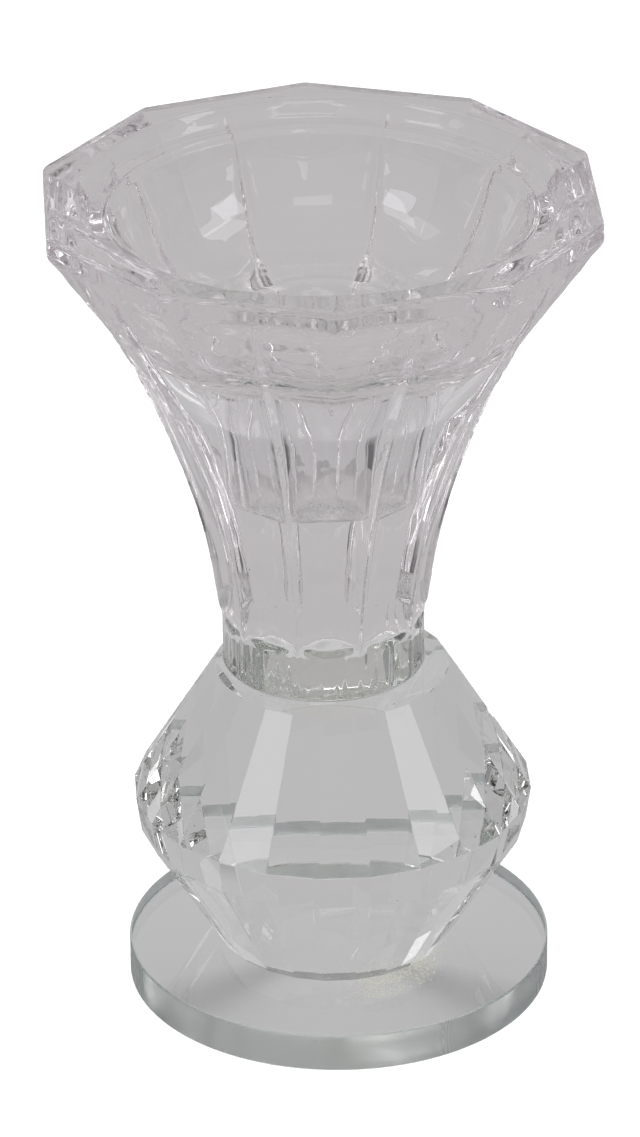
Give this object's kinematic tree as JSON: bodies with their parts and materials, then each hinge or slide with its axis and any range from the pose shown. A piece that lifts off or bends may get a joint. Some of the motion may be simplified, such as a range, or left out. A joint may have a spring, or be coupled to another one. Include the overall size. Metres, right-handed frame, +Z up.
{
  "type": "glass candlestick",
  "caption": "Clear glass candlestick: pressed cup with polygonal rim, round bowl and taper socket, on a fluted flared stem, a cut crystal ball and a round base disc.",
  "frame": {"origin": "on the axis of the cup, in the plane of the underside of the base disc", "axes": "+Z up along the cup axis; -Y is the side the cup sits furthest back from on the ball; +X completes a right-handed frame"},
  "size_m": [0.0844, 0.087, 0.1313],
  "materials": {
    "pressed_glass": "clear pressed glass, fire polished",
    "clear_adhesive": "clear cured adhesive",
    "cut_crystal": "clear cut crystal, polished",
    "clear_adhesive_lower": "clear cured adhesive with a few small bubbles",
    "disc_crystal": "clear crystal, polished"
  },
  "bodies": {
    "root": {"candle_cup": "pressed_glass", "upper_bond": "clear_adhesive", "faceted_ball": "cut_crystal", "lower_bond": "clear_adhesive_lower", "base_disc": "disc_crystal"}
  },
  "joints": []
}
